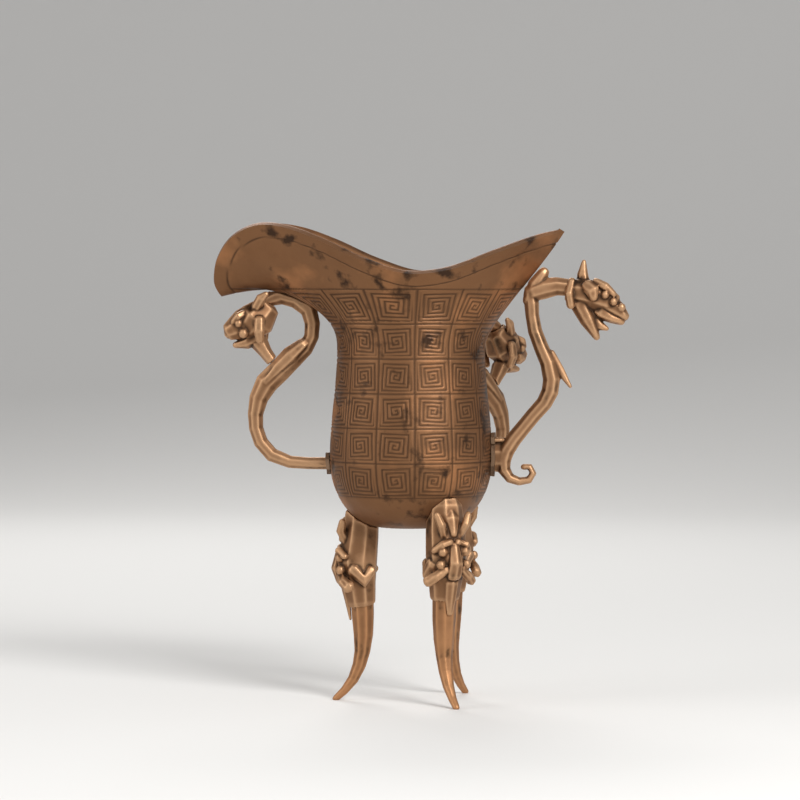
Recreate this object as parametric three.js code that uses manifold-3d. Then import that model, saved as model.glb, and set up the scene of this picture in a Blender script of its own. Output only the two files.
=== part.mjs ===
// A three-legged bronze wine cup: a bell-shaped bowl with a drooping spout and a pointed tail,
// three dragon handles and three tusk legs that come out of beast masks.
// Lengths are millimetres and angles degrees. +Z is up, the spout points along -X and the tail along +X.
import * as THREE from "three";
import { mergeVertices } from "three/addons/utils/BufferGeometryUtils.js";
import Module from "manifold-3d";

const wasm = await Module();
wasm.setup();

// Driving dimensions of the bowl
const STAND_HEIGHT = 55; // underside of the bowl above the table
const UNDERSIDE_RADIUS = 9; // flat middle of the underside
const BELLY_RADIUS = 25.6;
const BELLY_RISE = 21.5; // widest place above the underside
const WAIST_RADIUS = 23.3;
const WAIST_RISE = 56.8; // narrowest place above the underside, where the mouth starts to flare
const WALL = 2.4;
const RIM_WALL = 2.0;
const FLOOR = 4.2;
const SPOUT_REACH = 61.8; // from the bowl's axis to the lip
const TAIL_REACH = 48.3;
const MOUTH_HALF_WIDTH = 28.5; // at the dip of the rim
const DIP_RISE = 23.2; // rim heights above the waist
const CREST_RISE = 38.1;
const TAIL_RISE = 36.2;
const LIP_RISE = 15.8;

// Driving dimensions of the legs
const LEG_CIRCLE_RADIUS = 18.4; // the tusks' upper ends
const LEG_CIRCLE_SHIFT = 2.6; // the leg circle's centre lies this far towards the tail
const FOOT_CIRCLE_RADIUS = 27.6;
const LEG_AZIMUTHS = { spout: 180, front: 300, back: 60 };
const TUSK_RADIUS = 3.9;
const LEG_TENON_RADIUS = 2.2;
const LEG_TENON_LENGTH = 1.2; // the part inside the bowl's floor
const MASK_LENGTH = 26;

// Driving dimensions of the handles
const SIDE_HANDLE_AZIMUTH = 52;
const LOOP_FOOT_RISE = 20; // the spout handle's lower end above the underside
const LOOP_HEIGHT = 51.9; // from the spout handle's foot to its neck
const SIDE_FOOT_RISE = 15.5;
const SIDE_LOOP_HEIGHT = 47.9;
const SIDE_HANDLE_PULL = 5.2; // how much nearer the wall the side handle stands than the spout handle
const TAIL_FOOT_RISE = 22;
const TAIL_HANDLE_HEIGHT = 53.4;
const STRAP_GAUGE = 1; // factor on the straps' thickness
const SOLDER_WIDTH = 1.3;
const SOLDER_HEIGHT = 1.1;
const CLEARANCE = 0.3; // between pieces that are fitted together

// How finely the curved surfaces are faceted
const BOWL_SIDES = 48;
const BAR_SIDES = 8;
const DETAIL_SIDES = 6;

const radians = THREE.MathUtils.degToRad;

// Solids

// A closed grid of rings as a solid: each ring is a list of points that runs counter-clockwise about
// the way from the first ring to the last, and the two ends close on a single point each.
function solidOfRings(startPoint, rings, endPoint) {
  const sides = rings[0].length;
  const points = [startPoint, ...rings.flat(), endPoint];
  const last = points.length - 1;
  const at = (ring, side) => 1 + ring * sides + (side % sides);
  const index = [];
  for (let side = 0; side < sides; side++) {
    index.push(0, at(0, side + 1), at(0, side));
    for (let ring = 0; ring < rings.length - 1; ring++) {
      const corners = [at(ring, side), at(ring, side + 1), at(ring + 1, side + 1), at(ring + 1, side)];
      index.push(corners[0], corners[1], corners[2], corners[0], corners[2], corners[3]);
    }
    index.push(last, at(rings.length - 1, side), at(rings.length - 1, side + 1));
  }
  const geometry = new THREE.BufferGeometry().setFromPoints(points);
  geometry.setIndex(index);
  return solidOf(geometry);
}

function solidOf(geometry) {
  const bare = geometry.clone();
  bare.deleteAttribute("normal");
  bare.deleteAttribute("uv");
  const merged = mergeVertices(bare, 1e-4);
  return new wasm.Manifold(
    new wasm.Mesh({
      numProp: 3,
      vertProperties: new Float32Array(merged.attributes.position.array),
      triVerts: new Uint32Array(merged.index.array),
    }),
  );
}

function geometryOf(solid) {
  const mesh = solid.getMesh();
  const geometry = new THREE.BufferGeometry();
  geometry.setAttribute("position", new THREE.BufferAttribute(mesh.vertProperties.slice(), 3));
  geometry.setIndex(new THREE.BufferAttribute(mesh.triVerts.slice(), 1));
  const flat = geometry.toNonIndexed();
  flat.computeVertexNormals();
  return flat;
}

const union = (solids) => solids.reduce((sum, solid) => sum.add(solid));

// The biggest body of a cut solid, without the crumbs that a cut can leave.
function mainBody(solid) {
  const bodies = solid.decompose();
  return bodies.reduce((best, body) => (body.volume() > best.volume() ? body : best));
}

// A rounded bar along a smooth curve. Each station is [x, y, z, half thickness, half width]: the
// thickness is measured in the XZ plane across the curve, and the width along Y. The ends are domed.
function bar(stations, { grow = 0, sides = BAR_SIDES } = {}) {
  const spine = new THREE.CatmullRomCurve3(stations.map(([x, y, z]) => new THREE.Vector3(x, y, z)));
  const sizes = new THREE.CatmullRomCurve3(stations.map(([, , , thick, wide]) => new THREE.Vector3(thick, wide, 0)));
  const spans = stations.length - 1;
  const ring = (t, shrink, shift) => {
    const along = spine.getTangent(t);
    const side = new THREE.Vector3(0, 1, 0).addScaledVector(along, -along.y).normalize();
    const up = new THREE.Vector3().crossVectors(along, side);
    const size = sizes.getPoint(t);
    const centre = spine.getPoint(t).addScaledVector(along, shift * (Math.min(size.x, size.y) + grow));
    return Array.from({ length: sides }, (_, k) => {
      const angle = (2 * Math.PI * (k + 0.5)) / sides;
      return centre
        .clone()
        .addScaledVector(up, Math.sin(angle) * (size.x + grow) * shrink)
        .addScaledVector(side, Math.cos(angle) * (size.y + grow) * shrink);
    });
  };
  const dome = { width: 0.72, rise: 0.66, top: 0.95 };
  const pole = (t, shift) => ring(t, 0, shift)[0];
  const rings = [ring(0, dome.width, -dome.rise)];
  for (let i = 0; i <= spans; i++) rings.push(ring(i / spans, 1, 0));
  rings.push(ring(1, dome.width, dome.rise));
  return solidOfRings(pole(0, -dome.top), rings, pole(1, dome.top));
}

// A bar on each side of the XZ plane, from the stations of the one at +Y.
function barPair(stations, options) {
  const other = stations.map(([x, y, ...rest]) => [x, -y, ...rest]);
  return union([bar(stations, options), bar(other, options)]);
}

// Makers of a head's or mask's masses and locks. Their stations are given from one point.
function carverAt(x, z, heightScale) {
  const place = ([dx, y, dz, ...sizes]) => [x + dx, y, z + dz * heightScale, ...sizes];
  const fine = { sides: DETAIL_SIDES };
  const beadLength = 0.2;
  return {
    mass: (rows) => bar(rows.map(place)),
    lock: (rows) => bar(rows.map(place), fine),
    locks: (rows) => barPair(rows.map(place), fine),
    beads: (dx, y, dz, radius) => {
      const centre = place([dx, y, dz]);
      const end = [centre[0], y, centre[2] + beadLength, radius, radius];
      return barPair([[...centre, radius, radius], end], fine);
    },
  };
}

function upright(x, y, bottom, top, radius) {
  const geometry = new THREE.CylinderGeometry(radius, radius, top - bottom, 2 * BAR_SIDES);
  geometry.rotateX(Math.PI / 2).translate(x, y, (top + bottom) / 2);
  return solidOf(geometry);
}

// Bowl. Its own heights are measured from the underside.

// The outer profile from the underside's edge to the waist: a quarter ellipse up to the belly, then
// half a cosine wave up to the waist. Returns [radius, height].
function bodyProfile(share) {
  const bellyShare = 0.5;
  if (share < bellyShare) {
    const angle = ((share / bellyShare) * Math.PI) / 2;
    const radius = UNDERSIDE_RADIUS + (BELLY_RADIUS - UNDERSIDE_RADIUS) * Math.sin(angle);
    return [radius, BELLY_RISE * (1 - Math.cos(angle))];
  }
  const t = (share - bellyShare) / (1 - bellyShare);
  const wave = (1 + Math.cos(Math.PI * t)) / 2;
  return [WAIST_RADIUS + (BELLY_RADIUS - WAIST_RADIUS) * wave, BELLY_RISE + (WAIST_RISE - BELLY_RISE) * t];
}

function bodyRadiusAt(rise) {
  if (rise < BELLY_RISE) {
    const angle = Math.acos(1 - Math.max(rise, 0) / BELLY_RISE);
    return UNDERSIDE_RADIUS + (BELLY_RADIUS - UNDERSIDE_RADIUS) * Math.sin(angle);
  }
  const t = Math.min(1, (rise - BELLY_RISE) / (WAIST_RISE - BELLY_RISE));
  return WAIST_RADIUS + ((BELLY_RADIUS - WAIST_RADIUS) * (1 + Math.cos(Math.PI * t))) / 2;
}

// Half of the mouth, from the tail's tip to the middle of the lip. Each row gives the angle on the
// waist where the flare starts; the rim's place as shares of the tail's or spout's reach and of the
// mouth's half width; the rim's height above the waist; the way the flare leans at the rim, as a
// heading and a climb; and how long the flare holds its first and its last direction.
const MOUTH_ROWS = [
  [0, TAIL_REACH, 0, TAIL_RISE, 0, 58, 6, 15],
  [20, 0.83 * TAIL_REACH, 0.25, 0.83, 25, 60, 7, 14],
  [42, 0.59 * TAIL_REACH, 0.58, 0.5, 45, 62, 8, 12],
  [66, 0.29 * TAIL_REACH, 0.88, 0.09, 68, 62, 8, 10],
  [90, 0, 1, 0, 90, 60, 9, 9],
  [108, -0.23 * SPOUT_REACH, 0.95, 0.29, 108, 60, 9, 10],
  [124, -0.44 * SPOUT_REACH, 0.81, 0.69, 115, 62, 10, 13],
  [138, -0.615 * SPOUT_REACH, 0.67, 0.95, 115, 65, 12, 16],
  [150, -0.76 * SPOUT_REACH, 0.58, 1, 125, 65, 13, 17],
  [160, -0.89 * SPOUT_REACH, 0.47, 0.76, 140, 55, 14, 19],
  [168, -0.975 * SPOUT_REACH, 0.33, 0.29, 160, 30, 14, 21],
  [175, -1 * SPOUT_REACH, 0.17, -0.2, 172, 5, 14, 23],
  [180, -0.97 * SPOUT_REACH, 0, LIP_RISE, 180, -15, 14, 24],
].map(([waist, x, width, height, ...rest], row, rows) => {
  const tall = row === 0 || row === rows.length - 1 ? height : riseOfShare(height, x > 0 ? TAIL_RISE : CREST_RISE);
  return [waist, x, width * MOUTH_HALF_WIDTH, tall, ...rest];
});

function riseOfShare(share, top) {
  return DIP_RISE + share * (top - DIP_RISE);
}

// A row of the mouth at any place from 0, the tail's tip, to 1, the middle of the lip. The tip is a
// sharp corner, and the lip runs on smoothly into its mirror image.
function mouthRow(place) {
  const last = MOUTH_ROWS.length - 1;
  const at = Math.min(place * last, last - 1e-9);
  const span = Math.floor(at);
  const t = at - span;
  const mirrored = { 0: 180, 2: 0, 4: 180 }; // columns that turn over at the lip, and about which value
  const value = (row, column) => {
    if (row < 0) return 2 * MOUTH_ROWS[0][column] - MOUTH_ROWS[1][column];
    if (row <= last) return MOUTH_ROWS[row][column];
    const back = MOUTH_ROWS[2 * last - row][column];
    return column in mirrored ? 2 * mirrored[column] - back : back;
  };
  return MOUTH_ROWS[0].map((_, column) => {
    const [a, b, c, d] = [-1, 0, 1, 2].map((step) => value(span + step, column));
    return b + 0.5 * t * (c - a + t * (2 * a - 5 * b + 4 * c - d + t * (3 * (b - c) + d - a)));
  });
}

// The flare of the mouth as a cubic curve from the waist, where it is upright, to the rim.
function flarePoint(place, side, t) {
  const [waist, x, y, rise, heading, climb, hold, lean] = mouthRow(place);
  const start = new THREE.Vector3(
    WAIST_RADIUS * Math.cos(radians(waist)),
    side * WAIST_RADIUS * Math.sin(radians(waist)),
    WAIST_RISE,
  );
  const end = new THREE.Vector3(x, side * y, WAIST_RISE + rise);
  const leaning = new THREE.Vector3(
    Math.cos(radians(climb)) * Math.cos(radians(heading)),
    side * Math.cos(radians(climb)) * Math.sin(radians(heading)),
    Math.sin(radians(climb)),
  );
  const control = [
    start,
    start.clone().add(new THREE.Vector3(0, 0, hold)),
    end.clone().addScaledVector(leaning, -lean),
    end,
  ];
  return new THREE.CubicBezierCurve3(...control).getPoint(t);
}

const BODY_ROWS = 12;
const FLARE_ROWS = 9;

// Rings of the bowl's outer face from the underside's edge up to the rim.
function outerRings() {
  const rings = [];
  for (let row = 0; row <= BODY_ROWS; row++) {
    const [radius, height] = bodyProfile(row / BODY_ROWS);
    rings.push(
      Array.from({ length: BOWL_SIDES }, (_, k) => {
        const place = placeOf(k);
        const waist = radians(mouthRow(place.share)[0]) * place.side;
        return new THREE.Vector3(radius * Math.cos(waist), radius * Math.sin(waist), height);
      }),
    );
  }
  for (let row = 1; row <= FLARE_ROWS; row++) {
    rings.push(
      Array.from({ length: BOWL_SIDES }, (_, k) => {
        const place = placeOf(k);
        return flarePoint(place.share, place.side, row / FLARE_ROWS);
      }),
    );
  }
  return rings;
}

// Column k of the bowl's grid as a share of the half mouth and the side it lies on.
function placeOf(k) {
  const half = BOWL_SIDES / 2;
  return k <= half ? { share: k / half, side: 1 } : { share: (BOWL_SIDES - k) / half, side: -1 };
}

// Outward normals of a grid of rings.
function normalsOf(rings) {
  return rings.map((ring, row) =>
    ring.map((_, k) => {
      const below = rings[Math.max(row - 1, 0)][k];
      const above = rings[Math.min(row + 1, rings.length - 1)][k];
      const before = ring[(k + ring.length - 1) % ring.length];
      const after = ring[(k + 1) % ring.length];
      return new THREE.Vector3()
        .crossVectors(after.clone().sub(before), above.clone().sub(below))
        .normalize();
    }),
  );
}

// The inner face: the outer one moved inwards by the wall. Near the tail's corner the two flanks
// draw together without crossing.
function innerRings(outer) {
  const normals = normalsOf(outer);
  return outer.map((ring, row) => {
    const share = row / (outer.length - 1);
    const bodyShare = BODY_ROWS / (outer.length - 1);
    const wall =
      share < bodyShare
        ? THREE.MathUtils.lerp(FLOOR, WALL, Math.min(1, (2 * share) / bodyShare))
        : THREE.MathUtils.lerp(WALL, RIM_WALL, (share - bodyShare) / (1 - bodyShare));
    return ring.map((point, k) => {
      const moved = point.clone().addScaledVector(normals[row][k], -wall);
      const inward = Math.abs(point.y) < 1e-6 ? 0 : (point.y - moved.y) / point.y;
      moved.y = inward > 0 ? point.y / (1 + inward) : moved.y;
      return moved;
    });
  });
}

function bowlShell() {
  const outer = outerRings();
  const inner = innerRings(outer);
  const underside = new THREE.Vector3(0, 0, 0);
  const floorCentre = new THREE.Vector3(0, 0, inner[0][0].z);
  return solidOfRings(underside, [...outer, ...inner.reverse()], floorCentre);
}

// The bowl's outer shape as a full solid, grown by a clearance, that cuts what is fitted to it.
function bowlEnvelope(grow) {
  const outer = outerRings();
  const normals = normalsOf(outer);
  const grown = outer.map((ring, row) => ring.map((point, k) => point.clone().addScaledVector(normals[row][k], grow)));
  const mouthCentre = new THREE.Vector3(0, 0, WAIST_RISE + DIP_RISE);
  return solidOfRings(new THREE.Vector3(0, 0, -grow), grown, mouthCentre);
}

// Handles. Each is built with +X pointing out of the bowl, and heights from the underside.

// A strap with its own stations [reach beyond the belly, rise above the foot, half thickness, half width].
function strapStations(rows, footRise, height, drawnHeight, pull) {
  return rows.map(([reach, rise, thick, wide]) => [
    BELLY_RADIUS - pull + reach,
    0,
    footRise + (rise * height) / drawnHeight,
    thick * STRAP_GAUGE,
    wide * STRAP_GAUGE,
  ]);
}

const LOOP_DRAWN_HEIGHT = 51.9;
const LOOP_ROWS = [
  [22.4, 49.2, 1.6, 1.8],
  [20.6, 50.9, 1.9, 2.0],
  [18.2, 51.9, 2.4, 2.3],
  [15.4, 53.0, 3.1, 2.7],
  [10.6, 51.9, 3.3, 2.7],
  [6.7, 48.4, 2.9, 2.5],
  [5.6, 44.1, 2.6, 2.3],
  [5.9, 40.0, 2.5, 2.3],
  [7.8, 36.2, 2.6, 2.4],
  [11.3, 33.0, 3.0, 2.6],
  [16.0, 29.3, 3.9, 2.9],
  [20.2, 25.2, 3.9, 2.7],
  [22.7, 20.4, 3.2, 2.4],
  [23.7, 15.4, 2.6, 2.3],
  [23.5, 11.0, 2.4, 2.3],
  [22.0, 6.6, 2.4, 2.3],
  [18.5, 2.6, 2.4, 2.2],
  [12.8, 0.4, 2.1, 2.1],
  [7.0, 0, 2.0, 2.1],
];

// The lower end of a strap is drawn on into the wall, which then trims it.
function wallStation(rise, thick, wide) {
  return [bodyRadiusAt(rise) - WALL / 2, 0, rise, thick * STRAP_GAUGE, wide * STRAP_GAUGE];
}

const SPOUT_LOOP = { footRise: LOOP_FOOT_RISE, height: LOOP_HEIGHT, pull: 0 };
const SIDE_LOOP = { footRise: SIDE_FOOT_RISE, height: SIDE_LOOP_HEIGHT, pull: SIDE_HANDLE_PULL };

const loopRows = (rows, { footRise, height, pull }) =>
  strapStations(rows, footRise, height, LOOP_DRAWN_HEIGHT, pull);

// The dragon's shoulder: a raised lobe on both sides of the strap, below its ring.
function loopShoulder(loop, grow) {
  const rows = [
    [8.2, 37.6, 2.4, 3.2],
    [12.2, 34.0, 3.4, 3.9],
    [16.4, 30.0, 3.0, 3.5],
    [20.6, 25.4, 1.6, 2.8],
  ];
  return bar(loopRows(rows, loop), { grow });
}

function loopStrap(loop, grow) {
  const stations = [...loopRows(LOOP_ROWS, loop), wallStation(loop.footRise, 2.1, 2.2)];
  return bar(stations, { grow }).add(loopShoulder(loop, grow));
}

// Head of a loop handle: it faces outwards and down, in front of a collar of mane, and a lock of the
// mane joins its chin to the shoulder.
function loopHead({ footRise, height, pull }) {
  const { mass, lock, locks, beads } = carverAt(BELLY_RADIUS - pull, footRise + height, 1);
  return union([
    mass([[21.5, 0, -4.6, 5.4, 5.2], [23.2, 0, -6.4, 6.4, 6.2], [25.0, 0, -8.4, 5.4, 5.2]]),
    mass([[24.0, 0, -6.0, 5.2, 4.6], [27.5, 0, -8.0, 5.2, 4.8], [30.5, 0, -9.6, 3.9, 3.7]]),
    lock([[30.0, 0, -10.0, 3.2, 3.2], [32.0, 0, -11.0, 1.8, 2.5]]),
    lock([[32.0, -1.6, -9.2, 1.2, 1.2], [32.2, 1.6, -9.2, 1.2, 1.2]]),
    lock([[23.5, 0, -12.0, 2.4, 3.2], [26.5, 0, -14.0, 2.0, 2.8], [30.0, 0, -14.6, 1.1, 2.0]]),
    lock([[22.6, 0, -13.6, 3.0, 3.0], [20.4, 0, -17.0, 2.2, 2.4], [18.6, 0, -19.4, 2.0, 2.2]]),
    locks([[26.0, 2.8, -4.0, 1.2, 1.2], [28.6, 4.2, -5.4, 1.4, 1.2], [30.4, 3.4, -7.2, 0.9, 0.9]]),
    locks([[23.0, 3.8, -2.6, 1.8, 1.6], [21.2, 5.2, 0.2, 1.8, 1.2], [19.6, 5.4, 1.6, 1.0, 0.8]]),
    locks([[21.8, 5.4, -6.4, 1.8, 1.3], [21.8, 6.2, -10.2, 1.9, 1.2], [21.6, 5.0, -13.2, 1.4, 1.0]]),
    beads(28.6, 3.9, -7.8, 1.3),
    beads(27.0, 4.2, -11.0, 1.6),
  ]);
}

const TAIL_DRAWN_HEIGHT = 53.4;
const TAIL_STRAP_ROWS = [
  [11.8, 51.6, 2.2, 2.4],
  [12.4, 48.4, 2.5, 2.5],
  [12.6, 44.8, 2.3, 2.4],
  [13.5, 39.8, 2.4, 2.4],
  [15.4, 34.8, 2.5, 2.5],
  [17.6, 29.8, 2.7, 2.6],
  [18.7, 24.6, 2.9, 2.6],
  [18.2, 20.8, 2.9, 2.6],
  [16.4, 17.2, 2.7, 2.5],
  [13.0, 13.4, 2.6, 2.5],
  [9.9, 9.6, 2.6, 2.5],
  [6.8, 5.8, 2.7, 2.6],
  [4.4, 2.1, 2.8, 2.7],
  [3.6, -1.1, 2.5, 2.6],
  [3.9, -4.0, 2.1, 2.4],
  [5.7, -6.5, 1.7, 2.1],
  [8.6, -7.5, 1.4, 1.9],
  [11.6, -7.0, 1.3, 1.8],
  [12.9, -4.9, 1.2, 1.7],
  [11.9, -2.9, 1.1, 1.6],
  [9.9, -2.9, 1.0, 1.5],
];

// The neck that carries the tail handle's head, with its root under the tail.
function tailNeckStations() {
  const rows = [
    [12.6, 52.0, 3.2, 2.8],
    [16.2, 53.2, 3.6, 2.8],
    [20.4, 53.9, 3.1, 2.7],
    [24.0, 53.5, 2.9, 2.7],
    [28.0, 52.6, 2.1, 2.1],
  ];
  return strapStations(rows, TAIL_FOOT_RISE, TAIL_HANDLE_HEIGHT, TAIL_DRAWN_HEIGHT, 0);
}

function tailStrap(grow = 0) {
  const at = (rows) => strapStations(rows, TAIL_FOOT_RISE, TAIL_HANDLE_HEIGHT, TAIL_DRAWN_HEIGHT, 0);
  const strap = bar(at(TAIL_STRAP_ROWS), { grow });
  const neck = bar(tailNeckStations(), { grow });
  const root = bar(at([[11.2, 49.5, 1.8, 2.4], [13.4, 54.5, 2.4, 2.4], [16.2, 58.2, 1.9, 2.0]]), { grow });
  const fin = bar(at([[18.6, 33.0, 1.2, 1.0], [21.4, 27.4, 1.5, 1.0], [24.6, 22.4, 0.6, 0.8]]), { grow });
  const foot = bar([wallStation(TAIL_FOOT_RISE, 4.6, 2.5), ...at([[3.4, 0, 5.0, 2.6]])], { grow });
  const heel = bar([wallStation(TAIL_FOOT_RISE + 5.4, 1, 2.2), ...at([[3.0, 5.6, 1.0, 2.2]])], { grow });
  return union([strap, neck, root, fin, foot, heel]);
}

// Head of the tail handle: its mouth gapes, with a horn above, and it faces outwards and down.
function tailHead() {
  const { mass, lock, locks, beads } = carverAt(BELLY_RADIUS, TAIL_FOOT_RISE + TAIL_HANDLE_HEIGHT, 1);
  return union([
    mass([[26.2, 0, -1.4, 4.5, 4.3], [31.4, 0, -2.2, 5.2, 5.0], [36.4, 0, -4.2, 4.3, 4.2]]),
    mass([[36.0, 0, -4.8, 3.9, 3.8], [39.6, 0, -7.2, 2.9, 3.2], [41.4, 0, -8.8, 1.8, 2.6]]),
    lock([[34.0, 0, -7.6, 2.4, 3.6], [37.6, 0, -9.6, 1.6, 3.0], [40.6, 0, -10.6, 1.2, 2.2]]),
    mass([[27.4, 0, -4.6, 3.4, 3.9], [30.2, 0, -10.2, 2.8, 3.3], [32.8, 0, -15.4, 1.2, 1.9]]),
    lock([[30.6, 0, -8.0, 2.0, 2.0], [34.0, 0, -12.0, 1.6, 1.6], [36.0, 0, -12.8, 0.8, 1.0]]),
    lock([[28.6, 0, 1.0, 2.4, 1.8], [28.4, 0, 4.4, 1.8, 1.4], [28.8, 0, 8.2, 0.8, 0.8]]),
    locks([[25.0, 1.8, 2.0, 1.4, 1.4], [24.2, 4.2, -1.8, 1.5, 1.3], [24.8, 3.6, -5.6, 1.4, 1.2]]),
    locks([[29.6, 3.8, 1.0, 2.0, 1.2], [31.6, 5.2, -0.8, 2.4, 1.3], [32.0, 5.0, -3.2, 1.4, 1.0]]),
    locks([[32.6, 3.2, 2.0, 1.2, 1.3], [35.6, 4.2, 0.4, 1.4, 1.2], [38.2, 3.4, -2.0, 1.0, 1.0]]),
    beads(35.6, 4.4, -2.2, 1.3),
    beads(38.2, 3.8, -4.4, 1.3),
    beads(40.6, 2.2, -6.2, 1.4),
  ]);
}

// Legs. Each is built with +X pointing outwards from the centre of the leg circle, and +Z from the table.

// Heights on the tusk are shares of the stand height, and places across it lie between the two circles.
function tuskStations() {
  const knee = LEG_CIRCLE_RADIUS;
  const splay = FOOT_CIRCLE_RADIUS - LEG_CIRCLE_RADIUS;
  const rows = [
    [0, 0.93, 0.78],
    [0, 0.8, 0.95],
    [-0.02, 0.64, 1],
    [-0.06, 0.5, 0.96],
    [-0.08, 0.38, 0.84],
    [-0.04, 0.28, 0.68],
    [0.07, 0.2, 0.58],
    [0.28, 0.12, 0.47],
    [0.58, 0.055, 0.36],
    [0.88, 0.008, 0.29],
  ];
  return rows.map(([outward, height, size]) => [
    knee + outward * splay,
    0,
    height * STAND_HEIGHT,
    size * TUSK_RADIUS,
    size * TUSK_RADIUS,
  ]);
}

const tusk = (grow = 0) => bar(tuskStations(), { grow });

// Height of the bowl's underside above the middle of a leg, from the table.
function seatHeight(azimuth) {
  const x = LEG_CIRCLE_SHIFT + LEG_CIRCLE_RADIUS * Math.cos(radians(azimuth));
  const y = LEG_CIRCLE_RADIUS * Math.sin(radians(azimuth));
  const radius = Math.hypot(x, y);
  const angle = Math.asin(THREE.MathUtils.clamp((radius - UNDERSIDE_RADIUS) / (BELLY_RADIUS - UNDERSIDE_RADIUS), 0, 1));
  return STAND_HEIGHT + BELLY_RISE * (1 - Math.cos(angle));
}

const legTenon = (azimuth, grow = 0) =>
  upright(
    LEG_CIRCLE_RADIUS,
    0,
    STAND_HEIGHT * 0.8,
    seatHeight(azimuth) + LEG_TENON_LENGTH + grow,
    LEG_TENON_RADIUS + grow,
  );

// The mask is a sleeve round the tusk with a beast's face outwards.
function legMask(azimuth) {
  const drawnLength = 26;
  const { mass, lock, locks, beads } = carverAt(LEG_CIRCLE_RADIUS, seatHeight(azimuth), -MASK_LENGTH / drawnLength);
  const sleeve = [
    [-0.4, 0, -2.5, 5.6, 5.6],
    [0.2, 0, 5, 6.0, 6.2],
    [1.2, 0, 13, 6.6, 6.6],
    [0.4, 0, 20, 5.3, 5.4],
    [-0.2, 0, 26, 4.6, 4.7],
  ];
  return union([
    mass(sleeve),
    lock([[2.0, 0, -3.5, 1.6, 1.6], [4.6, 0, 1.5, 2.0, 2.6], [6.2, 0, 6, 1.0, 1.2]]),
    locks([[4.4, 2.4, 7, 1.4, 1.4], [6.0, 4.2, 3, 1.6, 1.4], [5.4, 5.4, 0, 1.2, 1.1]]),
    locks([[6.4, 1.4, 8.5, 1.3, 1.3], [6.8, 4.0, 9.0, 1.4, 1.2], [4.6, 6.0, 11, 1.1, 1.0]]),
    lock([[6.4, 0, 10, 1.8, 1.8], [7.6, 0, 15, 2.0, 2.4], [6.4, 0, 19, 1.6, 2.6]]),
    locks([[6.0, 2.6, 17, 1.6, 1.5], [5.2, 5.4, 19, 1.8, 1.6], [3.2, 7.4, 20.5, 2.2, 1.7]]),
    locks([[2.0, 5.6, 15, 2.2, 1.5], [-1.6, 5.8, 18.5, 2.4, 1.3], [-3.8, 4.8, 15, 1.6, 1.1]]),
    lock([[4.6, 0, 21, 1.8, 2.4], [3.7, 0, 26, 1.4, 2.0], [3.2, 0, 31, 0.7, 1.2]]),
    beads(6.4, 3.8, 11.5, 1.6),
    beads(6.2, 4.4, 15.5, 1.5),
  ]);
}

// Assembly

const bronze = (color, roughness) => new THREE.MeshStandardMaterial({ color, roughness, metalness: 1 });
const patina = bronze(0x7a4a26, 0.45);
const castDetail = bronze(0x8a5a34, 0.4);
const tuskBronze = bronze(0x855330, 0.42);
const solderGrey = bronze(0x9a7350, 0.55);

const cup = new THREE.Group();
cup.name = "three_legged_wine_cup";

function addNode(parent, name, solid, material) {
  const mesh = new THREE.Mesh(geometryOf(mainBody(solid)), material);
  mesh.name = name;
  parent.add(mesh);
}

function frameAt(azimuth, x, height) {
  const frame = new THREE.Group();
  frame.position.set(x, 0, height);
  frame.rotation.z = radians(azimuth);
  cup.add(frame);
  return frame;
}

// A solid given in a turned frame, as seen from the bowl's own frame, and the other way round.
const intoBowl = (solid, azimuth) => solid.rotate([0, 0, azimuth]);
const outOfBowl = (solid, azimuth) => solid.rotate([0, 0, -azimuth]);

const tight = bowlEnvelope(CLEARANCE);
const loose = bowlEnvelope(CLEARANCE + SOLDER_HEIGHT);
let bowl = bowlShell();

// A strap's lower end is turned down to a tenon that sits in a blind socket in the wall.
const STRAP_TENON_RADIUS = 1.4;

function footTenon(rise, grow) {
  const inside = bodyRadiusAt(rise) - WALL * 0.6;
  const outside = bodyRadiusAt(rise) + 2 * CLEARANCE + 1;
  const stations = [
    [inside, 0, rise, STRAP_TENON_RADIUS, STRAP_TENON_RADIUS],
    [outside, 0, rise, STRAP_TENON_RADIUS, STRAP_TENON_RADIUS],
  ];
  return bar(stations, { grow }).intersect(
    upright(0, 0, 0, STAND_HEIGHT + WAIST_RISE, BELLY_RADIUS + 2 * WALL).subtract(
      upright(0, 0, -1, STAND_HEIGHT + WAIST_RISE + 1, inside - grow),
    ),
  );
}

// Solder round a bar where it meets the bowl: a bead between the wall and the bar's skin.
function solderBead(barAt, azimuth, reachLimit) {
  const bead = barAt(CLEARANCE + SOLDER_WIDTH)
    .intersect(outOfBowl(loose, azimuth))
    .subtract(outOfBowl(tight, azimuth))
    .subtract(barAt(CLEARANCE));
  return bead.intersect(reachLimit);
}

function slab(low, high) {
  const geometry = new THREE.BoxGeometry(high[0] - low[0], high[1] - low[1], high[2] - low[2]);
  geometry.translate((high[0] + low[0]) / 2, (high[1] + low[1]) / 2, (high[2] + low[2]) / 2);
  return solidOf(geometry);
}

// One handle: a strap with its head fitted over the end of the neck, and solder at the strap's foot.
function addHandle({ name, azimuth, strapAt, head, footRise, cutMargin }) {
  const frame = frameAt(azimuth, 0, STAND_HEIGHT);
  const envelope = outOfBowl(tight, azimuth);
  const strap = mainBody(strapAt(0).subtract(envelope)).add(footTenon(footRise, 0));
  const fittedHead = head.subtract(strapAt(CLEARANCE)).subtract(envelope);
  const footSpace = slab([0, -20, footRise - cutMargin], [60, 20, footRise + cutMargin]);
  addNode(frame, `${name}_handle_strap`, strap, castDetail);
  addNode(frame, `${name}_handle_head`, fittedHead, castDetail);
  addNode(frame, `${name}_handle_foot_solder`, solderBead(strapAt, azimuth, footSpace), solderGrey);
  bowl = bowl.subtract(intoBowl(footTenon(footRise, CLEARANCE), azimuth));
}

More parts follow.
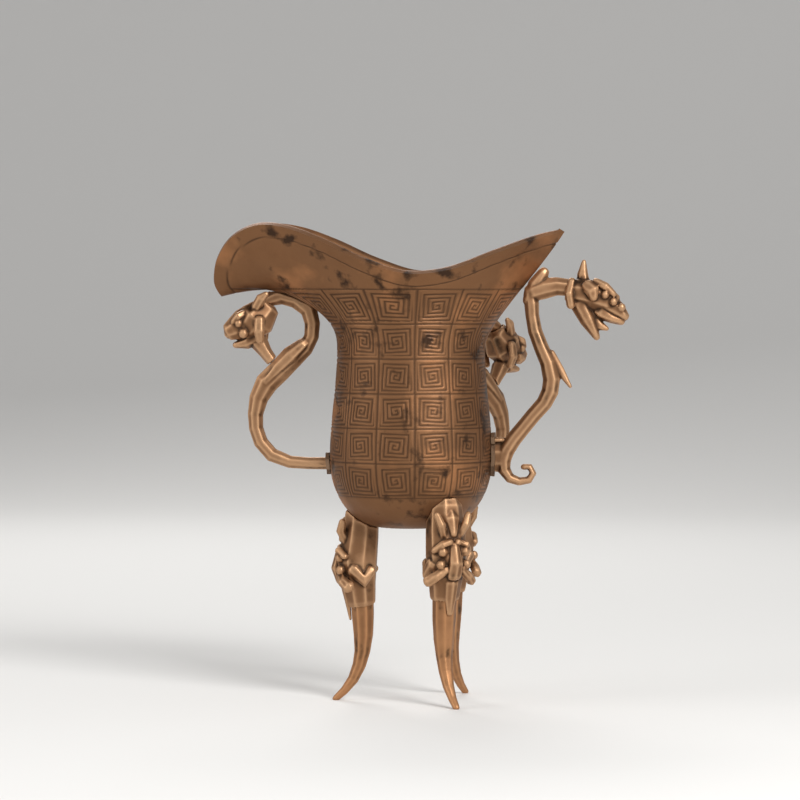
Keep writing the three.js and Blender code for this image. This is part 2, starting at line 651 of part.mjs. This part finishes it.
addHandle({
  name: "spout",
  azimuth: 180,
  strapAt: (grow) => loopStrap(SPOUT_LOOP, grow),
  head: loopHead(SPOUT_LOOP),
  footRise: LOOP_FOOT_RISE,
  cutMargin: 8,
});
addHandle({
  name: "side",
  azimuth: SIDE_HANDLE_AZIMUTH,
  strapAt: (grow) => loopStrap(SIDE_LOOP, grow),
  head: loopHead(SIDE_LOOP),
  footRise: SIDE_FOOT_RISE,
  cutMargin: 8,
});
addHandle({
  name: "tail",
  azimuth: 0,
  strapAt: (grow) => tailStrap(grow),
  head: tailHead(),
  footRise: TAIL_FOOT_RISE,
  cutMargin: 9,
});

// One leg: a tusk with a tenon in the bowl's floor, the mask round it and solder under the bowl.
for (const [name, azimuth] of Object.entries(LEG_AZIMUTHS)) {
  const frame = frameAt(azimuth, LEG_CIRCLE_SHIFT, 0);
  const intoLeg = (solid) => solid.translate([-LEG_CIRCLE_SHIFT, 0, STAND_HEIGHT]).rotate([0, 0, -azimuth]);
  const floorCut = slab([-5, -40, -20], [90, 40, 0]);
  const shaft = tusk().subtract(intoLeg(tight)).subtract(floorCut);
  addNode(frame, `${name}_leg_tusk`, mainBody(shaft).add(legTenon(azimuth)), tuskBronze);
  const face = legMask(azimuth)
    .subtract(tusk(CLEARANCE))
    .subtract(legTenon(azimuth, CLEARANCE))
    .subtract(intoLeg(tight));
  addNode(frame, `${name}_leg_mask`, face, castDetail);
  bowl = bowl.subtract(
    legTenon(azimuth, CLEARANCE).rotate([0, 0, azimuth]).translate([LEG_CIRCLE_SHIFT, 0, -STAND_HEIGHT]),
  );
}

const bowlFrame = frameAt(0, 0, STAND_HEIGHT);
addNode(bowlFrame, "bowl", bowl, patina);

// The origin is on the table, under the middle of the whole cup.
const bounds = new THREE.Box3().setFromObject(cup, true);
const middle = bounds.getCenter(new THREE.Vector3());
cup.position.set(-middle.x, -middle.y, 0);

export default cup;
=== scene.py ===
# %% [markdown]
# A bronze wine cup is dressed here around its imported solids. The bowl is worked out anew as a fine
# surface, so that its cast key-fret is real relief. The handles, masks and legs are recast from their
# solids: a fine skin is drawn over each one and smoothed, as wax softens a carved model.

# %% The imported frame
import math
import bmesh
import bpy
import numpy as np
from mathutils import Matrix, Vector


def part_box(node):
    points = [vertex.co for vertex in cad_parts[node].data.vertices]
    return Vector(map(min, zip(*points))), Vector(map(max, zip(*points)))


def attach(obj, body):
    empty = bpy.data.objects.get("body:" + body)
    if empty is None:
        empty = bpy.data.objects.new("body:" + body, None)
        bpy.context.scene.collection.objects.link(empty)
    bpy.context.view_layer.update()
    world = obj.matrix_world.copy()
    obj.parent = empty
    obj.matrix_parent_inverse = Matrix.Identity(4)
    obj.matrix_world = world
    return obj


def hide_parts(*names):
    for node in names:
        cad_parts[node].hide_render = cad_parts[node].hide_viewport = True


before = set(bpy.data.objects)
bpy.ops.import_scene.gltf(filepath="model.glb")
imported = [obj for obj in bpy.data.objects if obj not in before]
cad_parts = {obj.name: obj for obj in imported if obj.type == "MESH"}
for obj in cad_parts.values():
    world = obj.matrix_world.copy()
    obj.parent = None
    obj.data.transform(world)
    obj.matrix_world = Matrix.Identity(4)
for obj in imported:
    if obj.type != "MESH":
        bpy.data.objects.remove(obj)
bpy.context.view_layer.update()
MM = 0.001

# %% [markdown]
# The bowl's own sizes, in millimetres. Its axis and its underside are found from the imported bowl, so
# the surface lies where the solid is. Heights are measured from the underside.

# %% The bowl's sizes
UNDERSIDE_RADIUS = 9.0
BELLY_RADIUS, BELLY_RISE = 25.6, 21.5
WAIST_RADIUS, WAIST_RISE = 23.3, 56.8
FLOOR, WALL, RIM_WALL = 4.2, 2.4, 2.0
SPOUT_REACH, TAIL_REACH, MOUTH_HALF_WIDTH = 61.8, 48.3, 28.5
DIP_RISE, CREST_RISE, TAIL_RISE, LIP_RISE = 23.2, 38.1, 36.2, 15.8

bowl_low, bowl_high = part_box("bowl")
AXIS = np.array([bowl_high.x / MM - TAIL_REACH, (bowl_low.y + bowl_high.y) / 2 / MM, bowl_low.z / MM])
print("bowl axis at", AXIS)

# %% [markdown]
# The mouth is half a loop of thirteen stations from the tail's tip to the middle of the lip. Each one
# gives the angle at the waist, the rim's place and height, and how the flare leans there. A smooth
# curve through the stations gives every meridian between them.

# %% The mouth
def rise_of(share, top):
    """A height between the rim's dip, at share 0, and its top, at share 1."""
    return DIP_RISE + share * (top - DIP_RISE)


MOUTH = np.array([
    [0, TAIL_REACH, 0, TAIL_RISE, 0, 58, 6, 15],
    [20, 0.83 * TAIL_REACH, 0.25, rise_of(0.83, TAIL_RISE), 25, 60, 7, 14],
    [42, 0.59 * TAIL_REACH, 0.58, rise_of(0.5, TAIL_RISE), 45, 62, 8, 12],
    [66, 0.29 * TAIL_REACH, 0.88, rise_of(0.09, TAIL_RISE), 68, 62, 8, 10],
    [90, 0, 1, DIP_RISE, 90, 60, 9, 9],
    [108, -0.23 * SPOUT_REACH, 0.95, rise_of(0.29, CREST_RISE), 108, 60, 9, 10],
    [124, -0.44 * SPOUT_REACH, 0.81, rise_of(0.69, CREST_RISE), 115, 62, 10, 13],
    [138, -0.615 * SPOUT_REACH, 0.67, rise_of(0.95, CREST_RISE), 115, 65, 12, 16],
    [150, -0.76 * SPOUT_REACH, 0.58, CREST_RISE, 125, 65, 13, 17],
    [160, -0.89 * SPOUT_REACH, 0.47, rise_of(0.76, CREST_RISE), 140, 55, 14, 19],
    [168, -0.975 * SPOUT_REACH, 0.33, rise_of(0.29, CREST_RISE), 160, 30, 14, 21],
    [175, -SPOUT_REACH, 0.17, rise_of(-0.2, CREST_RISE), 172, 5, 14, 23],
    [180, -0.97 * SPOUT_REACH, 0, LIP_RISE, 180, -15, 14, 24],
])
MOUTH[:, 2] *= MOUTH_HALF_WIDTH
before_tip = 2 * MOUTH[0] - MOUTH[1]
past_lip = MOUTH[-2] * [-1, 1, -1, 1, -1, 1, 1, 1] + [360, 0, 0, 0, 360, 0, 0, 0]
STATIONS = np.vstack([before_tip, MOUTH, past_lip])


def mouth(share):
    """Catmull-Rom curve through the stations, for shares from 0, the tail's tip, to 1, the lip."""
    at = np.minimum(share * (len(MOUTH) - 1), len(MOUTH) - 1 - 1e-9)
    span = at.astype(int)
    t = (at - span)[:, None]
    a, b, c, d = (STATIONS[span + step] for step in range(4))
    return b + 0.5 * t * (c - a + t * (2 * a - 5 * b + 4 * c - d + t * (3 * (b - c) + d - a)))


def flare(share, side, t):
    """Cubic curves from the waist, where they are upright, to the rim: rows of t by columns of share."""
    waist, x, y, rise, heading, climb, hold, lean = mouth(share).T
    waist, heading, climb = np.radians(waist), np.radians(heading), np.radians(climb)
    start = np.stack([WAIST_RADIUS * np.cos(waist), side * WAIST_RADIUS * np.sin(waist)], -1)
    start = np.column_stack([start, np.full(len(share), WAIST_RISE)])
    end = np.column_stack([x, side * y, WAIST_RISE + rise])
    way = np.column_stack([np.cos(climb) * np.cos(heading), side * np.cos(climb) * np.sin(heading), np.sin(climb)])
    first = start + np.column_stack([0 * hold, 0 * hold, hold])
    second = end - way * lean[:, None]
    t = t[:, None, None]
    return (1 - t) ** 3 * start + 3 * t * (1 - t) ** 2 * first + 3 * t * t * (1 - t) * second + t ** 3 * end


# %% [markdown]
# Below the waist the bowl is round: a quarter ellipse up to the belly, then half a wave up to the
# waist. Rows lie close together, because the fret's lines are less than a millimetre apart.

# %% The bowl's outer surface
COLUMNS = 600
UNDERSIDE_ROWS, LOWER_ROWS, UPPER_ROWS, FLARE_ROWS = 6, 75, 110, 108


def body_profile():
    """Radius and rise of each row from the middle of the underside to just below the waist."""
    flat = np.linspace(0.02, 1, UNDERSIDE_ROWS, endpoint=False) * UNDERSIDE_RADIUS
    angle = np.linspace(0, math.pi / 2, LOWER_ROWS, endpoint=False)
    lower = UNDERSIDE_RADIUS + (BELLY_RADIUS - UNDERSIDE_RADIUS) * np.sin(angle)
    t = np.linspace(0, 1, UPPER_ROWS, endpoint=False)
    upper = WAIST_RADIUS + (BELLY_RADIUS - WAIST_RADIUS) * (1 + np.cos(math.pi * t)) / 2
    rises = [0 * flat, BELLY_RISE * (1 - np.cos(angle)), BELLY_RISE + (WAIST_RISE - BELLY_RISE) * t]
    return np.concatenate([flat, lower, upper]), np.concatenate(rises)


def bowl_surface(columns):
    """Grid of points, rows from the underside to the rim, and each column's angle at the waist."""
    k = np.arange(columns)
    half = columns // 2
    share = np.where(k <= half, k, columns - k) / half
    side = np.where(k <= half, 1.0, -1.0)
    angle = np.radians(mouth(share)[:, 0]) * side
    radius, rise = body_profile()
    body = np.stack([np.outer(radius, np.cos(angle)), np.outer(radius, np.sin(angle))], -1)
    body = np.concatenate([body, np.broadcast_to(rise[:, None, None], body.shape[:2] + (1,))], -1)
    return np.vstack([body, flare(share, side, np.linspace(0, 1, FLARE_ROWS))]), angle


def normals_of(grid):
    """Outward normal of each point, from its neighbours along the row and the column."""
    along = np.roll(grid, -1, 1) - np.roll(grid, 1, 1)
    up = np.gradient(grid, axis=0)
    normal = np.cross(along, up)
    return normal / np.maximum(np.linalg.norm(normal, axis=2, keepdims=True), 1e-12)


outer, column_angle = bowl_surface(COLUMNS)
outer_normals = normals_of(outer)
print("outer grid", outer.shape, "from", outer.min((0, 1)), "to", outer.max((0, 1)))

# %% [markdown]
# The fret is a net of square cells, thirteen round the bowl and six high. Each cell holds a square
# spiral, and its neighbours turn the other way. Lines frame the cells, and one line runs along the
# rim. Long handling has worn the relief, so its depth comes and goes in broad patches.

# %% The key-fret
FRET_COLUMNS, FRET_ROWS = 13, 6
FRET_LOW, FRET_HIGH = 10.2, 75.0
SPIRAL_TURNS = 4.6
GROOVE_DEPTH = 0.26
RIM_LINE_INSET, RIM_LINE_WIDTH = 4.4, 0.55


def patches(points, scale, seed):
    """Broad soft patches from 0 to 1: a sum of plane waves in fixed directions, made by a seed."""
    random = np.random.default_rng(seed)
    ways = random.normal(size=(9, 3))
    phases = random.uniform(0, 2 * math.pi, 9)
    waves = np.sin(points @ ways.T / scale + phases).sum(-1)
    return np.clip(0.5 + waves / 6, 0, 1)


def groove(distance, width):
    """Depth from 0 to 1 of a round-bottomed line, by the distance from its middle."""
    return np.clip(1 - (distance / (width / 2)) ** 2, 0, 1)


def fret(grid, angle):
    """Relief from 0 to 1 over the bowl: square spirals in cells, the cells' frames and the rim line."""
    across = angle[None, :] / (2 * math.pi) * FRET_COLUMNS + np.zeros(grid.shape[:2])
    upwards = (grid[..., 2] - FRET_LOW) / (FRET_HIGH - FRET_LOW) * FRET_ROWS
    inside = np.clip((upwards + 0.04) * 20, 0, 1) * np.clip((FRET_ROWS + 0.04 - upwards) * 20, 0, 1)
    a, b = across % 1 - 0.5, upwards % 1 - 0.5
    turn_way = np.where((np.floor(across) + np.floor(upwards)) % 2 == 0, 1, -1)
    reach = np.maximum(np.abs(a), np.abs(b)) * 2
    quarter = np.arctan2(b, a * turn_way) / (2 * math.pi)
    wave = (reach * SPIRAL_TURNS + quarter) % 1
    spiral = groove(np.abs(wave - 0.5), 0.62) * (reach < 0.84)
    frames = np.maximum(groove(0.5 - np.abs(a), 0.07), groove(0.5 - np.abs(b), 0.06))
    rim_gap = np.linalg.norm(grid - grid[-1], axis=2)
    rim_line = groove(rim_gap - RIM_LINE_INSET, RIM_LINE_WIDTH)
    clear_of_rim = np.clip((rim_gap - RIM_LINE_INSET) / RIM_LINE_WIDTH, 0, 1)
    return np.maximum(np.maximum(spiral, frames) * inside * clear_of_rim, rim_line)


relief = fret(outer, column_angle)
wear = 0.35 + 0.65 * patches(outer, 9.0, 4)
carved = outer - outer_normals * (relief * wear * GROOVE_DEPTH)[..., None]
print("deepest groove", float((relief * wear).max() * GROOVE_DEPTH), "mm")

# %% [markdown]
# A mesh takes a whole grid at once. Faces run counter-clockwise as seen from outside.

# %% From grid to mesh
def grid_piece(name, grid, mask, wrap):
    """A smooth mesh of a grid's quads. The mask is kept as an attribute for the material."""
    rows, columns = grid.shape[:2]
    index = np.arange(rows * columns).reshape(rows, columns)
    if wrap:
        index = np.hstack([index, index[:, :1]])
    quads = np.stack([index[:-1, :-1], index[:-1, 1:], index[1:, 1:], index[1:, :-1]], -1)
    mesh = bpy.data.meshes.new(name)
    mesh.from_pydata(((grid + AXIS) * MM).reshape(-1, 3).tolist(), [], quads.reshape(-1, 4).tolist())
    mesh.polygons.foreach_set("use_smooth", np.ones(len(mesh.polygons), bool))
    # The groove mask darkens the fret's cut lines in the material, as dark patina and painted shade.
    mesh.attributes.new("groove", "FLOAT", "POINT").data.foreach_set("value", mask.ravel().astype(np.float32))
    piece = bpy.data.objects.new(name, mesh)
    bpy.context.scene.collection.objects.link(piece)
    print(name, len(mesh.polygons) * 2, "triangles")
    return piece


half = COLUMNS // 2
back_half = grid_piece("bowl_back_half", carved[:, : half + 1], relief[:, : half + 1], wrap=False)
front_columns = np.r_[half:COLUMNS, 0]
front_half = grid_piece("bowl_front_half", carved[:, front_columns], relief[:, front_columns], wrap=False)

# %% [markdown]
# The inside is the outside moved inwards by the wall. It takes in the rim, as a narrow flat band
# from the outer edge over to the inner one.

# %% The bowl's inside and rim
INNER_EVERY = 5
BAND_ROWS = 4


def bowl_inside(grid, normals):
    """Rows from the outer rim over to the inner one, then down the inside to the middle of the floor."""
    share = np.linspace(0, 1, len(grid))
    body = (len(grid) - FLARE_ROWS) / len(grid)
    lower = FLOOR + (WALL - FLOOR) * np.clip(2 * share / body, 0, 1)
    upper = WALL + (RIM_WALL - WALL) * (share - body) / (1 - body)
    wall = np.where(share < body, lower, upper)[:, None, None]
    moved = grid - normals * wall
    # In the narrow tail the wall would pass the mirror plane, so each point nears it and never meets it.
    y = grid[..., 1]
    off_plane = np.abs(y) > 1e-6
    inward = np.where(off_plane, 1 - moved[..., 1] / np.where(off_plane, y, 1), 0)
    moved[..., 1] = np.where(inward > 0, y / (1 + np.maximum(inward, 0)), moved[..., 1])
    across = np.linspace(0, 1, BAND_ROWS, endpoint=False)[:, None, None]
    band = grid[-1] + (moved[-1] - grid[-1]) * across
    return np.vstack([band, moved[::-1][::INNER_EVERY]])


inside = bowl_inside(outer, outer_normals)
inner_piece = grid_piece("bowl_inside", inside, np.zeros(inside.shape[:2]), wrap=True)

# %% [markdown]
# The handles, heads, masks and legs come from their solids. A voxel skin joins the carved locks of
# each one into a single soft surface, and smoothing rounds it as casting and handling have done.

# %% Recasting a solid
VOXEL = 0.24 * MM
SOFTEN_ROUNDS = 7
HOLLOW_ROUNDS = 14
FULL_HOLLOW = 0.1 * MM
CAST_NODES = [node for node in sorted(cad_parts) if node != "bowl" and not node.endswith("solder")]


def keep_mask(mesh, name, values):
    """A number for each point of a mesh, for its material to read."""
    mesh.attributes.new(name, "FLOAT", "POINT").data.foreach_set("value", values.ravel().astype(np.float32))


def hollowness(mesh):
    """How far each point's smoothed place lies outside it along its normal: above 0 in a hollow,
    below 0 on a ridge. A round of smoothing puts each point at the mean of its neighbours."""
    count = len(mesh.vertices)
    points, normals = np.empty(count * 3), np.empty(count * 3)
    mesh.vertices.foreach_get("co", points)
    mesh.vertices.foreach_get("normal", normals)
    edges = np.empty(len(mesh.edges) * 2, np.int32)
    mesh.edges.foreach_get("vertices", edges)
    first, second = edges.reshape(-1, 2).T
    neighbours = np.maximum(np.bincount(edges, minlength=count), 1)
    points = points.reshape(-1, 3)
    smooth = points
    for _ in range(HOLLOW_ROUNDS):
        sums = [np.bincount(first, v[second], count) + np.bincount(second, v[first], count) for v in smooth.T]
        smooth = np.stack(sums, -1) / neighbours[:, None]
    return ((smooth - points) * normals.reshape(-1, 3)).sum(1)


def recast(node):
    """A fine smooth skin over a node's solid, as a new mesh: a voxel remesh, then averaging."""
    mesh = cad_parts[node].data.copy()
    build = bmesh.new()
    build.from_mesh(mesh)
    bmesh.ops.remove_doubles(build, verts=build.verts, dist=1e-6)
    build.to_mesh(mesh)
    build.free()
    rough = bpy.data.objects.new(node + "_rough", mesh)
    bpy.context.scene.collection.objects.link(rough)
    skin = rough.modifiers.new("skin", "REMESH")
    skin.mode, skin.voxel_size = "VOXEL", VOXEL
    soften = rough.modifiers.new("soften", "SMOOTH")
    soften.factor, soften.iterations = 0.5, SOFTEN_ROUNDS
    evaluated = rough.evaluated_get(bpy.context.evaluated_depsgraph_get())
    fine = bpy.data.meshes.new_from_object(evaluated)
    bpy.data.objects.remove(rough)
    fine.name = node + "_cast"
    fine.polygons.foreach_set("use_smooth", np.ones(len(fine.polygons), bool))
    # The hollow measure becomes two masks: groove darkens hollow places, as dark patina and painted shade, and
    # ridge brightens raised places, as wear and painted highlight.
    hollow = hollowness(fine) / FULL_HOLLOW
    keep_mask(fine, "groove", np.clip(hollow, 0, 1))
    keep_mask(fine, "ridge", np.clip(-hollow, 0, 1))
    piece = bpy.data.objects.new(node + "_cast", fine)
    bpy.context.scene.collection.objects.link(piece)
    print(piece.name, len(fine.polygons) * 2, "triangles")
    return piece


cast_pieces = {node: recast(node) for node in CAST_NODES}

# %% [markdown]
# Old bronze has a brown skin with near-black blotches and copper patches where hands have worn it.
# One node group makes that skin from noise at three scales. It also darkens grooves and hollow places,
# as dark patina and painted shade, and brightens raised places, as wear and painted highlight. Each
# material gives it its own colours. The group puts out a colour, a roughness and a height.

# %% The bronze skin
def add(tree, kind, **values):
    node = tree.nodes.new(kind)
    for name, value in values.items():
        setattr(node, name, value)
    return node


def noise(tree, scale, detail):
    """Noise on Object coordinates, in cells per metre."""
    node = add(tree, "ShaderNodeTexNoise")
    node.inputs["Scale"].default_value = scale
    node.inputs["Detail"].default_value = detail
    tree.links.new(tree.nodes["place"].outputs["Object"], node.inputs["Vector"])
    return node.outputs["Fac"]


def ramp(tree, value, low, high):
    """A value stretched to 0 at low and 1 at high."""
    node = add(tree, "ShaderNodeMapRange", clamp=True)
    tree.links.new(value, node.inputs["Value"])
    node.inputs["From Min"].default_value, node.inputs["From Max"].default_value = low, high
    return node.outputs["Result"]


def mix(tree, factor, first, second):
    """One colour turning into another by a factor."""
    node = add(tree, "ShaderNodeMix", data_type="RGBA")
    tree.links.new(factor, node.inputs["Factor"])
    for source, socket in ((first, node.inputs["A"]), (second, node.inputs["B"])):
        tree.links.new(source, socket)
    return node.outputs["Result"]


def bronze_group():
    tree = bpy.data.node_groups.new("bronze_skin", "ShaderNodeTree")
    for name in ("Patina", "Dark_Patina_And_Shade", "Rubbed_And_Highlight"):
        tree.interface.new_socket(name, in_out="INPUT", socket_type="NodeSocketColor")
    for name in ("Groove_Patina_And_Shade", "Ridge_Wear_And_Highlight"):
        tree.interface.new_socket(name, in_out="INPUT", socket_type="NodeSocketFloat")
    tree.interface.new_socket("Color", in_out="OUTPUT", socket_type="NodeSocketColor")
    tree.interface.new_socket("Roughness", in_out="OUTPUT", socket_type="NodeSocketFloat")
    tree.interface.new_socket("Height", in_out="OUTPUT", socket_type="NodeSocketFloat")
    entry, leave = add(tree, "NodeGroupInput"), add(tree, "NodeGroupOutput")
    add(tree, "ShaderNodeTexCoord", name="place")
    broad, blotch, grain = noise(tree, 45, 4), noise(tree, 160, 5), noise(tree, 1500, 3)
    worn = ramp(tree, broad, 0.54, 0.72)
    dusty = ramp(tree, blotch, 0.42, 0.3)
    color = mix(tree, worn, entry.outputs["Patina"], entry.outputs["Rubbed_And_Highlight"])
    color = mix(tree, dusty, color, entry.outputs["Dark_Patina_And_Shade"])
    # Raised places turn to the bright worn colour: wear and painted highlight.
    color = mix(tree, entry.outputs["Ridge_Wear_And_Highlight"], color, entry.outputs["Rubbed_And_Highlight"])
    # Grooves and hollow places turn near black: dark patina and painted shade.
    color = mix(tree, entry.outputs["Groove_Patina_And_Shade"], color, entry.outputs["Dark_Patina_And_Shade"])
    tree.links.new(color, leave.inputs["Color"])
    tree.links.new(ramp(tree, blotch, -0.6, 1.5), leave.inputs["Roughness"])
    tree.links.new(grain, leave.inputs["Height"])
    return tree


BRONZE_SKIN = bronze_group()


def bronze(name, patina, dark_patina_and_shade, rubbed_and_highlight, groove_share):
    """Bronze with its own colours. The groove attribute darkens the cut lines and hollow places by a share,
    as dark patina and painted shade, and the ridge attribute brightens the raised places, as wear and
    painted highlight."""
    material = bpy.data.materials.new(name)
    material.use_nodes = True
    tree = material.node_tree
    shader = tree.nodes["Principled BSDF"]
    shader.inputs["Metallic"].default_value = 0.82
    skin = add(tree, "ShaderNodeGroup", node_tree=BRONZE_SKIN)
    for socket, color in (("Patina", patina), ("Dark_Patina_And_Shade", dark_patina_and_shade), ("Rubbed_And_Highlight", rubbed_and_highlight)):
        skin.inputs[socket].default_value = (*color, 1)
    lines = add(tree, "ShaderNodeAttribute", attribute_name="groove")
    depth = add(tree, "ShaderNodeMath", operation="MULTIPLY")
    depth.inputs[1].default_value = groove_share
    tree.links.new(lines.outputs["Fac"], depth.inputs[0])
    tree.links.new(depth.outputs[0], skin.inputs["Groove_Patina_And_Shade"])
    ridge_wear_and_highlight = add(tree, "ShaderNodeAttribute", attribute_name="ridge")
    tree.links.new(ridge_wear_and_highlight.outputs["Fac"], skin.inputs["Ridge_Wear_And_Highlight"])
    bump = add(tree, "ShaderNodeBump")
    bump.inputs["Strength"].default_value = 0.35
    bump.inputs["Distance"].default_value = 0.0001
    tree.links.new(skin.outputs["Color"], shader.inputs["Base Color"])
    tree.links.new(skin.outputs["Roughness"], shader.inputs["Roughness"])
    tree.links.new(skin.outputs["Height"], bump.inputs["Height"])
    tree.links.new(bump.outputs["Normal"], shader.inputs["Normal"])
    return material


# Each material's second colour is near black. It serves for dark blotches and for patina and painted shade in
# grooves. Its third is the bright worn colour. It serves for worn patches and for painted highlight on raised
# places.
BOWL_BRONZE = bronze("bowl_bronze", (0.2, 0.095, 0.042), (0.045, 0.022, 0.011), (0.4, 0.18, 0.075), 0.85)
RELIEF_BRONZE = bronze("relief_bronze", (0.22, 0.11, 0.052), (0.04, 0.02, 0.01), (0.48, 0.28, 0.15), 0.9)
LEG_BRONZE = bronze("leg_bronze", (0.24, 0.115, 0.052), (0.05, 0.025, 0.012), (0.44, 0.22, 0.1), 0.7)
SOLDER = bronze("solder", (0.2, 0.125, 0.075), (0.07, 0.04, 0.024), (0.34, 0.22, 0.14), 0)

# %% [markdown]
# Each piece gets its finish, and the solid that it stands for is hidden. The cup has no
# joints, so all of it rides on the one body.

# %% Dressing the cup
for piece in (front_half, back_half, inner_piece):
    piece.data.materials.append(BOWL_BRONZE)
    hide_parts("bowl")
    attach(piece, "root")

for node, piece in cast_pieces.items():
    is_leg = node.endswith("tusk")
    piece.data.materials.clear()
    piece.data.materials.append(LEG_BRONZE if is_leg else RELIEF_BRONZE)
    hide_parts(node)
    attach(piece, "root")

for node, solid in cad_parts.items():
    if node.endswith("solder"):
        solid.data.materials.clear()
        solid.data.materials.append(SOLDER)

# %% [markdown]
# The photograph was taken from a little to the right of the front, level with the rim, through a
# long lens. The camera's distance and lens give the photograph's scale at the bowl's axis.

# %% Camera
PIXELS = 800
PHOTO_SCALE = 0.315 * MM
AXIS_PIXEL_X, HORIZON_PIXEL_Y = 411, 270
AZIMUTH = math.radians(4.5)
EYE_HEIGHT = 0.136
FOCAL_PIXELS = 3810

distance = FOCAL_PIXELS * PHOTO_SCALE
right = np.array([math.cos(AZIMUTH), math.sin(AZIMUTH)])
towards_camera = np.array([math.sin(AZIMUTH), -math.cos(AZIMUTH)])
eye = AXIS[:2] * MM - right * (AXIS_PIXEL_X - PIXELS / 2) * PHOTO_SCALE + towards_camera * distance
camera = bpy.data.objects.new("camera", bpy.data.cameras.new("camera"))
bpy.context.scene.collection.objects.link(camera)
camera.data.lens = camera.data.sensor_width * FOCAL_PIXELS / PIXELS
camera.location = (*eye, EYE_HEIGHT)
pitch = math.atan((PIXELS / 2 - HORIZON_PIXEL_Y) / FOCAL_PIXELS)
camera.rotation_euler = (math.pi / 2 - pitch, 0, AZIMUTH)
bpy.context.scene.camera = camera
print("camera at", tuple(camera.location), "lens", camera.data.lens)

# %% [markdown]
# A plain pale floor turns up into a backdrop behind the cup, so that no horizon shows. Three soft
# square lights and a pale grey world light it.

# %% Floor and light
FLOOR_HALF_WIDTH = 4.0
BEND_START, BEND_RADIUS = 0.9, 1.2
bend = np.linspace(0, math.pi / 2, 32)
floor_y = np.r_[-FLOOR_HALF_WIDTH, BEND_START + BEND_RADIUS * np.sin(bend), BEND_START + BEND_RADIUS]
floor_z = np.r_[0, BEND_RADIUS * (1 - np.cos(bend)), FLOOR_HALF_WIDTH]
ends = np.array([-FLOOR_HALF_WIDTH, FLOOR_HALF_WIDTH])
floor_points = np.stack([np.tile(ends, len(floor_y)), np.repeat(floor_y, 2), np.repeat(floor_z, 2)], -1)
start = 2 * np.arange(len(floor_y) - 1)
floor_quads = np.stack([start, start + 1, start + 3, start + 2], -1)
floor_mesh = bpy.data.meshes.new("floor")
floor_mesh.from_pydata(floor_points.tolist(), [], floor_quads.tolist())
floor_mesh.polygons.foreach_set("use_smooth", np.ones(len(floor_quads), bool))
floor = bpy.data.objects.new("floor", floor_mesh)
bpy.context.scene.collection.objects.link(floor)
floor_paint = bpy.data.materials.new("floor_paint")
floor_paint.use_nodes = True
floor_paint.node_tree.nodes["Principled BSDF"].inputs["Base Color"].default_value = (0.72, 0.71, 0.69, 1)
floor_paint.node_tree.nodes["Principled BSDF"].inputs["Roughness"].default_value = 0.9
floor_mesh.materials.append(floor_paint)

world = bpy.data.worlds.new("studio")
world.use_nodes = True
bpy.context.scene.world = world
world.node_tree.nodes["Background"].inputs["Color"].default_value = (0.86, 0.86, 0.87, 1)
world.node_tree.nodes["Background"].inputs["Strength"].default_value = 0.55


def lamp(name, place, size, power):
    """A square soft light that faces the middle of the cup."""
    data = bpy.data.lights.new(name, "AREA")
    data.size, data.energy = size, power
    light = bpy.data.objects.new(name, data)
    bpy.context.scene.collection.objects.link(light)
    light.location = place
    aim = np.array([0, 0, 0.08]) - np.array(place)
    light.rotation_euler = (math.atan2(math.hypot(aim[0], aim[1]), -aim[2]), 0, math.atan2(aim[1], aim[0]) - math.pi / 2)
    return light


lamp("key", (0.5, -0.7, 0.6), 0.35, 9)
lamp("fill", (-0.8, -0.4, 0.4), 0.6, 3)
lamp("back", (-0.2, 0.8, 0.7), 0.5, 4)
bpy.context.scene.view_settings.view_transform = "Standard"

# %% [markdown]
# The scene is brought up to date at the end.

# %% The end
bpy.context.view_layer.update()
